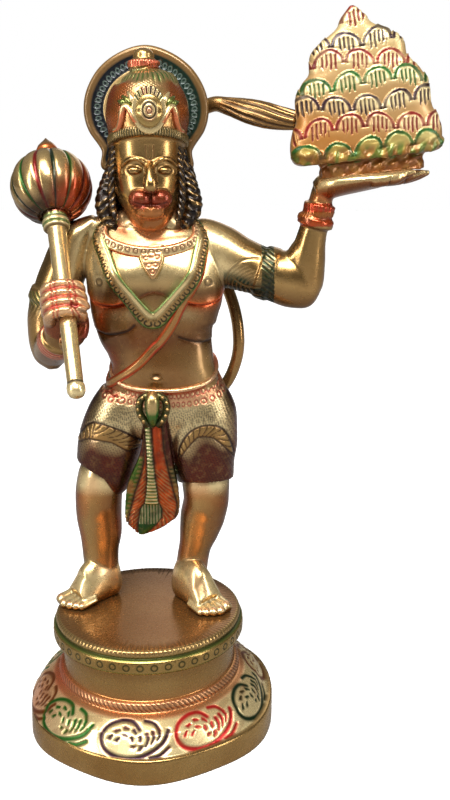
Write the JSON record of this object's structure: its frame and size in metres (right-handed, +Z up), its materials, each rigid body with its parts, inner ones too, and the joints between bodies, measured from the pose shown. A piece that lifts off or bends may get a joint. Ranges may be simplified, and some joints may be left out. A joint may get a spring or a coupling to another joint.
{
  "type": "brass hanuman statue",
  "caption": "Standing cast-brass figure with a ribbed mace, a leafy mountain on the raised palm, a rolled-edge halo and a looping tail, on a round stepped plinth.",
  "frame": {"origin": "centre of the plinth's round underside", "axes": "+Z up, -Y the way the figure faces, +X toward its raised left hand"},
  "size_m": [0.2913, 0.1888, 0.5088],
  "materials": {
    "plinth_brass": "polished brass with coloured lacquer in the engraved bands",
    "figure_brass": "polished brass washed with red, orange, green and purple lacquer",
    "halo_brass": "polished rim round a dark green lacquered band",
    "tail_brass": "polished brass, darker in the hollows",
    "mace_brass": "polished brass with green and red lacquer between the ribs",
    "mountain_brass": "pale polished brass with lacquered scallops"
  },
  "bodies": {
    "root": {"plinth": "plinth_brass", "figure": "figure_brass", "halo": "halo_brass", "tail": "tail_brass", "mace": "mace_brass", "mountain": "mountain_brass"}
  },
  "joints": []
}
